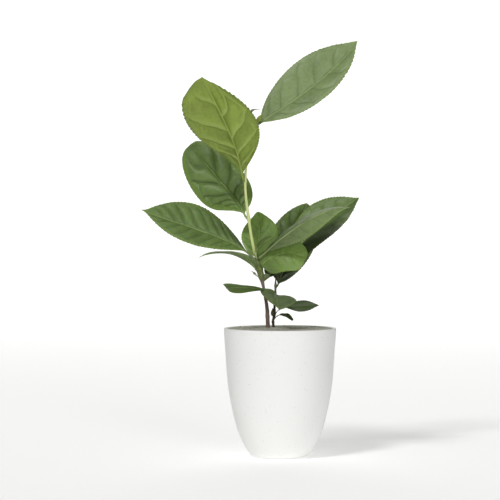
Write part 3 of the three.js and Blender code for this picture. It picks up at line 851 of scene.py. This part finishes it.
class TeaPlantStems(bpy.types.Operator):
    """Grows both stems, furrowed bark below and smooth green above"""

    bl_idname = "tea_plant.stems"
    bl_label = "Stems"

    def execute(self, context):
        for stem in STEMS.values():
            self.grow(stem)
        return {"FINISHED"}

    def grow(self, stem):
        """Makes one stem as a tube with bark relief."""
        curve = stem_curve(stem)
        low = (curve[0] - Vector((0, 0, STEM_ROOTED))).z
        high = curve[-1].z

        def middle(share):
            height = mix(low, high, share)
            point = stem_at(curve, height)
            if height < curve[0].z:
                point.z = height
            ahead = stem_at(curve, height + 1.0) - stem_at(curve, height - 1.0)
            tangent = ahead.normalized()
            right = tangent.cross(Vector((0, 1, 0))).normalized()
            return point, right, tangent.cross(right)

        def radius(share, angle):
            if share in (0.0, 1.0):
                return 0.0
            height = mix(low, high, share)
            age = 1 - smooth(height, *stem.woody_to)
            place = Vector((cos(angle) * BARK_WRAP, sin(angle) * BARK_WRAP, height / BARK_STRETCH))
            furrow = abs(noise.noise(place * 1.6)) + 0.5 * noise.noise(place * 3.7)
            bark = age * BARK_RELIEF * (furrow - BARK_SUNK)
            ridges = (1 - age) * GREEN_RELIEF * cos(GREEN_RIDGES * angle)
            return stem_radius(stem, height) + (bark + ridges)

        bm = bmesh.new()
        tube(bm, STEM_SIDES, round((high - low) / STEM_STEP), middle, radius)
        material = stem_material(*stem.finish)
        add_piece(f"grown_{stem.node}", bm, [material], [stem.node])


class TeaPlantBuds(bpy.types.Operator):
    """Shapes the pointed buds with their wrapped scales"""

    bl_idname = "tea_plant.buds"
    bl_label = "Buds"

    def execute(self, context):
        for bud in BUDS:
            self.grow(bud)
        return {"FINISHED"}

    def grow(self, bud):
        """Makes one bud as a spindle."""
        stem = STEMS[bud.on]
        curve = stem_curve(stem)
        lean = Vector(bud.lean).normalized()
        length = bud.height
        if bud.z is None:
            foot = curve[-1] - lean * bud.sunk
        else:
            reach = between(stem.radii, bud.z) + FIT_GAP + bud.radius
            side = Vector((*bud.side, 0)) * reach
            foot = stem_at(curve, bud.z) + side - lean * length / 2
        right = lean.cross(Vector((0, 1, 0))).normalized()
        out = lean.cross(right)

        def middle(share):
            return foot + lean * length * share, right, out

        def radius(share, angle):
            plump = sin(pi * share ** 0.8) ** 0.8 if 0 < share < 1 else 0.0
            wrap = 1 + BUD_WRAP * cos(2 * angle + 5 * share)
            return bud.radius * plump * wrap

        bm = bmesh.new()
        tube(bm, BUD_SIDES, BUD_STEPS, middle, radius)
        add_piece(f"grown_{bud.node}", bm, [stalk_material(*bud.finish)], [bud.node])


def leaf_rib(leaf):
    """A leaf's middle rib: its four curve points, length and stalk radius."""
    stem = STEMS[leaf.on]
    curve = stem_curve(stem)
    axis = stem_at(curve, leaf.z)
    bends = [Vector(p) for p in leaf.bend]
    tip = Vector(leaf.tip)
    aim = (bends[0] - axis) * Vector((1, 1, 0))
    aim.normalize()
    stalk = max(THINNEST_STALK, STALK_RADIUS * (tip - axis).length)
    climb = (bends[0] - axis).normalized().z
    foot = axis + aim * (between(stem.radii, leaf.z) + FIT_GAP + stalk * abs(climb))
    points = [foot, *bends, tip]
    line = geometry.interpolate_bezier(*points, 80)
    length = sum((b - a).length for a, b in zip(line, line[1:]))
    return Row(points=points, curve=curve, length=length, stalk=stalk)


def rib_at(rib, t):
    """Point and direction of a rib's cubic curve."""
    a, b, c, d = rib.points
    n = 1 - t
    point = a * n**3 + b * 3 * n * n * t + c * 3 * n * t * t + d * t**3
    slope = (b - a) * n * n + (c - b) * 2 * n * t + (d - c) * t * t
    return point, slope.normalized()


def leaf_section(leaf, rib, t):
    """Point, right and upper directions of a leaf at a share of its rib, and the blade's share."""
    share = min(max((t - leaf.stalk) / (1 - leaf.stalk), 0.0), 1.0)
    point, tangent = rib_at(rib, t)
    front = Vector((0, -1, 0))
    normal = (front - tangent * front.dot(tangent)).normalized()
    right = tangent.cross(normal)
    roll = radians(mix(*leaf.roll, share ** leaf.turn))
    right, normal = (
        side * cos(roll) + tangent.cross(side) * sin(roll) for side in (right, normal)
    )
    return point, right, normal * leaf.upper, share


def outline(share, foot, point):
    """Share of the widest half-width at a share of the blade's length."""
    widest = foot / (foot + point)
    return (share / widest) ** foot * ((1 - share) / (1 - widest)) ** point


def raised(distance):
    """How far the blade has bulged up at a distance from a vein, 1 in full."""
    return 1 - exp(-distance * distance / (distance + CREASE_BOTTOM) / QUILT_ROUND)


def blade_relief(leaf, seed, share, across, hand, width, length):
    """Height above the blade's plain surface in millimetres, and how much of the midrib and
    of a side vein, with the painted shade beside it, is there."""
    spacing = length / leaf.veins
    from_rib = across * width
    fade = smooth(share, 0.02, 0.16) * (1 - smooth(share, 0.84, 0.99)) * min(1.0, width / 8)

    drift = VEIN_DRIFT * noise.noise(Vector((5 * share + 7 * hand, 2.2 * across, seed)))
    slant = VEIN_SLANT * leaf.half[hand] / length
    phase = leaf.veins * (share - slant * across**VEIN_BEND) + VEIN_STAGGER * hand + drift
    cell = phase % 1.0
    to_next = (1 - cell) * spacing
    loop = LOOP_START - LOOP_DROP * cell**1.5
    from_loop = abs(across - loop) * width
    ended = smooth(across, loop - 0.02, loop + 0.1)

    vein_width = VEIN_WIDTH * (1.25 - 0.6 * across)
    side_vein = hill(min(cell, 1 - cell) * spacing, vein_width) * (1 - ended) * smooth(phase, 0.3, 0.8)
    loop_vein = LOOP_STRENGTH * leaf.loops * hill(from_loop, vein_width)
    rib_vein = hill(from_rib, RIB_WIDTH * (1.15 - 0.7 * share))
    # Painted shade on the tip side of each side vein, where the crease's slope lies dark
    shade = hill(spacing - to_next, SHADE_REACH) * (1 - ended) * smooth(across, 0, 0.15)
    vein = max(side_vein, loop_vein, SHADE_STRENGTH * min(leaf.quilt, 3) * shade) * fade

    sloped = raised(QUILT_SLOPE * (spacing - to_next)) * raised(to_next)
    inner = raised(from_rib) * sloped * mix(1.0, raised(from_loop), leaf.loops)
    outer = mix(0.75, raised(from_loop), leaf.loops) * (1 - smooth(across, 0.82, 1.0)) * OUTER_QUILT
    bulge = mix(inner, outer, ended) * fade * leaf.quilt
    place = Vector((share * length, from_rib * (2 * hand - 1), 9.0 * seed))
    sway = sum(depth * noise.noise(place / size) for depth, size in SWAYS)
    rungs = Vector((share * length / LADDER_SPACING[0], from_rib / LADDER_SPACING[1], seed + 0.5))
    ladder = LADDER_HEIGHT * noise.noise(rungs)
    curl = EDGE_CURL * across**6 * smooth(width, 2, 10)
    height = bulge + (sway + ladder) * smooth(width, 2, 8) - curl
    return height - RIB_GROOVE * rib_vein - VEIN_GROOVE * vein, rib_vein, vein


def blade_width(leaf, rib, t, share, hand):
    """Half-width of the blade on one side, growing out of the stalk and drawn in at the nose."""
    stalk = leaf.stalk
    grown = smooth(t, BLADE_FOOT * stalk, min(stalk + BLADE_START, 2 * stalk + leaf.start))
    width = leaf.half[hand] * outline(share, leaf.foot[hand], leaf.point[hand])
    if hand == 0:
        width += leaf.wing * hill(t * rib.length - WING_AT, WING_REACH)
    width *= 1 - leaf.nose * hill((1 - share) * rib.length, leaf.nose_length)
    return max(mix(rib.stalk * NECK_WIDTH, width, grown), THINNEST_EDGE)


def tooth_at(share, length, width):
    """Height of the margin's saw teeth, which point to the tip, and how near their end is."""
    if length < TOOTH_LEAF_LENGTH or not TOOTH_FROM < share < TOOTH_TO:
        return 0.0, 0.0
    step = share * length / TOOTH_SPACING
    bite = (step + 0.35 * noise.noise(Vector((step / 3, length, 0)))) % 1.0
    grown = smooth(width, 1, 5) * smooth(share, 0.12, 0.35)
    grown *= 0.75 + 0.9 * noise.noise(Vector((step / 2, 0, length)))
    return (bite**TOOTH_HOOK - 0.5) * grown, smooth(bite, 0.45, 0.85) * grown


def painted_shade_at(leaf, share, across, hand):
    """How strong the painted shade on the blade is at a place."""
    darker, foot, tip = leaf.dusk
    side = 1.0 if darker == 2 else smooth(across if hand == darker else -across, -0.1, 0.65)
    return mix(foot, tip, smooth(share, 0.1, 0.8)) * side


def place_blade(bm, leaf, seed, rib, settings):
    """Bends a grid into the blade, with its teeth, veins and quilting, and thickens it."""
    layers = {name: bm.verts.layers.float.new(name) for name in BLADE_LAYERS}
    length = rib.length
    across_steps = 2 * max(5, round(max(leaf.half) / GRID_ACROSS))
    along_steps = max(24, round(length / GRID_ALONG))
    for row, verts in grid_rows(bm, across_steps, along_steps):
        eased = mix(row, (1 - cos(pi * row)) / 2, 0.5)
        t = mix(BLADE_FOOT * leaf.stalk, 1.0, eased)
        point, right, upper, share = leaf_section(leaf, rib, t)
        wave = LEAF_WAVE * sin(share * 3 * pi + seed) * sin(pi * share)
        for vert, x in verts:
            u = 2 * x - 1
            across = abs(u)
            hand = 1 if u > 0 else 0
            width = blade_width(leaf, rib, t, share, hand)
            bite, tooth = (leaf.teeth * value for value in tooth_at(share, length, width))
            width += settings.tooth / MM * bite * across**10
            height, rib_vein, vein = blade_relief(leaf, seed, share, across, hand, width, length)
            fold = radians(leaf.fold + 0.5 * leaf.cup * across)
            lean = radians(leaf.fold + leaf.cup * across) * (1 if u > 0 else -1)
            outward = upper * cos(lean) - right * sin(lean)
            place = point + right * (u * width * cos(fold))
            place += upper * (across * width * sin(fold) + wave * u * u)
            place += outward * height * settings.quilt
            vert.co = place * MM
            # Layers for the material; the second is painted shade, and the vein layer carries painted
            # shade beside the veins
            vert[layers["rib"]] = rib_vein * leaf.ribs
            vert[layers["dusk"]] = painted_shade_at(leaf, share, across, hand)
            vert[layers["vein"]] = vein * min(1.0, 0.25 + 0.75 * leaf.quilt)
            vert[layers["edge"]] = smooth(across * width, width - leaf.band, width)
            vert[layers["tooth"]] = tooth * across**24
    bm.normal_update()
    facing = leaf_section(leaf, rib, 0.5)[2]
    if sum(f.normal.dot(facing) for f in bm.faces) < 0:
        bmesh.ops.reverse_faces(bm, faces=bm.faces[:])
        bm.normal_update()
    upper_faces = set(bm.faces)
    under = bmesh.ops.extrude_face_region(bm, geom=bm.faces[:], use_keep_orig=True)["geom"]
    for vert in under:
        if isinstance(vert, bmesh.types.BMVert):
            ridge = 1 + VEIN_RIDGE * vert[layers["vein"]]
            vert.co -= vert.normal * settings.thickness * ridge
    for face in bm.faces:
        face.material_index = 0 if face in upper_faces else 1
    bmesh.ops.recalc_face_normals(bm, faces=bm.faces[:])


def place_stalk(bm, leaf, rib):
    """Adds the stalk, which grows out of the stem and runs on under the blade as its midrib."""
    length = rib.length
    joined = STALK_JOINED * rib.stalk

    def along(share):
        return STALK_END * share**1.4

    def slim(t):
        swollen = 1 + leaf.flare * hill(t * length, joined)
        taper = mix(1.0, STALK_TAPER, t**0.7)
        return rib.stalk * taper * swollen * smooth(t * length, -1.5, joined)

    def middle(share):
        t = along(share)
        point, right, upper, _ = leaf_section(leaf, rib, t)
        sunk = smooth(t, BLADE_FOOT * leaf.stalk, leaf.stalk + 0.05)
        point = point - upper * sunk * (0.5 * slim(t) + STALK_SUNK)
        leaving = 1 - smooth(t * length, 0, joined)
        inside = stem_at(rib.curve, leaf.z - 3 * rib.stalk * leaving)
        return point.lerp(inside, leaving), right, upper

    def radius(share, angle):
        return 0.0 if share in (0.0, 1.0) else slim(along(share))

    # Painted shade: dark at the foot where the stalk meets the stem, and the blade's own painted shade
    # carried a longer way up
    dusk = bm.verts.layers.float["dusk"]
    shade = STALK_PAINTED_SHADE * min(painted_shade_at(leaf, 0, 1, leaf.dusk[0] % 2), 1.0)
    for face in tube(bm, STALK_SIDES, max(30, round(length / STALK_STEP)), middle, radius):
        face.material_index = 2
        for vert in face.verts:
            away = (vert.co / MM - rib.points[0]).length
            vert[dusk] = max(leaf.scar * hill(away, PAINTED_FOOT_SHADE_REACH), shade * hill(away, STALK_PAINTED_SHADE_REACH))


class TeaPlantLeaves(bpy.types.Operator):
    """Grows every leaf with its toothed blade, veins and stalk"""

    bl_idname = "tea_plant.leaves"
    bl_label = "Leaves"

    def execute(self, context):
        settings = context.scene.tea_plant_leaf
        finishes = {}
        for tone, (upper, lower, vein, margin, _) in TONES.items():
            finishes[tone] = [
                blade_material(f"{tone}_leaf_upper_skin", upper, vein, margin, True),
                blade_material(f"{tone}_leaf_lower_skin", lower, vein, margin, False),
                stalk_material(f"{tone}_leaf_stalk", vein, lower),
            ]
        for seed, leaf in enumerate(LEAVES):
            rib = leaf_rib(leaf)
            bm = bmesh.new()
            place_blade(bm, leaf, seed, rib, settings)
            place_stalk(bm, leaf, rib)
            add_piece(f"grown_{leaf.node}", bm, finishes[leaf.tone], [leaf.node])
        return {"FINISHED"}


def add_light(name, place, strength, softness):
    """An even light from a direction, as wide in the sky as its softness in degrees."""
    data = bpy.data.lights.new(name, "SUN")
    data.energy = strength
    data.angle = radians(softness)
    lamp = link(name, data)
    lamp.location = place
    lamp.rotation_euler = Vector(place).to_track_quat("Z", "Y").to_euler()


class TeaPlantStage(bpy.types.Operator):
    """Sets up the pale floor, the soft lights and the camera"""

    bl_idname = "tea_plant.stage"
    bl_label = "Stage"

    def execute(self, context):
        settings = context.scene.tea_plant_stage
        self.sweep(settings)
        for name, (place, strength, softness) in LIGHTS.items():
            add_light(name, place, strength * settings.light, softness)
        self.surroundings(ROOM_LIGHT * settings.light)
        context.scene.view_settings.view_transform = "Standard"

        data = bpy.data.cameras.new("camera")
        data.lens = CAMERA_LENS
        camera = link("camera", data)
        camera.location = Vector(CAMERA_PLACE) * MM
        camera.rotation_euler = (radians(90 - CAMERA_DOWN), 0, 0)
        context.scene.camera = camera
        return {"FINISHED"}

    def surroundings(self, strength):
        """A white room: plain white behind everything, and dim where it lights the plant."""
        world = bpy.data.worlds.new("white_room")
        world.use_nodes = True
        tree = world.node_tree
        tree.nodes.clear()
        seen = add_node(tree, "LightPath")["Is Camera Ray"]
        glow = add_node(tree, "MapRange", {"Value": seen, "To Min": strength, "To Max": 1})["Result"]
        sky = add_node(tree, "Background", {"Color": (1, 1, 1, 1), "Strength": glow})
        add_node(tree, "OutputWorld", {"Surface": sky["Background"]})
        bpy.context.scene.world = world

    def sweep(self, settings):
        """A floor that curves up into a backdrop far behind the pot."""
        bm = bmesh.new()
        quarter = SWEEP_RADIUS * pi / 2
        total = 2 * FLOOR_REACH + SWEEP_FROM + quarter
        for vert, x, y in flat_grid(bm, 2, SWEEP_STEPS):
            along = y * total - FLOOR_REACH
            bent = min(max(along - SWEEP_FROM, 0), quarter) / SWEEP_RADIUS
            depth = min(along, SWEEP_FROM) + SWEEP_RADIUS * sin(bent)
            rise = SWEEP_RADIUS * (1 - cos(bent)) + max(along - SWEEP_FROM - quarter, 0)
            vert.co = (mix(-SWEEP_HALF, SWEEP_HALF, x), depth, rise)
        floor = link_mesh("studio_sweep", bm, [stage_material(settings.floor)])


class TeaPlantPanel(bpy.types.Panel):
    """Lists the steps that build the potted plant"""

    bl_idname = "VIEW3D_PT_tea_plant"
    bl_label = "Tea Plant"
    bl_space_type = "VIEW_3D"
    bl_region_type = "UI"
    bl_category = "Tea Plant"

    def draw(self, context):
        for key, group in SETTINGS.items():
            for name in group.__annotations__:
                self.layout.prop(getattr(context.scene, key), name)
        for step in STEPS:
            self.layout.operator(step.bl_idname)


SETTINGS = {
    "tea_plant_pot": TeaPlantPotSettings,
    "tea_plant_leaf": TeaPlantLeafSettings,
    "tea_plant_stage": TeaPlantStageSettings,
}
STEPS = [TeaPlantPot, TeaPlantSoil, TeaPlantStems, TeaPlantBuds, TeaPlantLeaves, TeaPlantStage]


def register():
    for name, group in SETTINGS.items():
        bpy.utils.register_class(group)
        setattr(bpy.types.Scene, name, bpy.props.PointerProperty(type=group))
    for kind in (*STEPS, TeaPlantPanel):
        bpy.utils.register_class(kind)


def unregister():
    for kind in (TeaPlantPanel, *reversed(STEPS)):
        bpy.utils.unregister_class(kind)
    for name, group in SETTINGS.items():
        delattr(bpy.types.Scene, name)
        bpy.utils.unregister_class(group)


def main():
    """Builds the pieces and the stage."""
    register()
    bpy.ops.tea_plant.pot()
    bpy.ops.tea_plant.soil()
    bpy.ops.tea_plant.stems()
    bpy.ops.tea_plant.buds()
    bpy.ops.tea_plant.leaves()
    bpy.ops.tea_plant.stage()


if __name__ == "__main__":
    main()
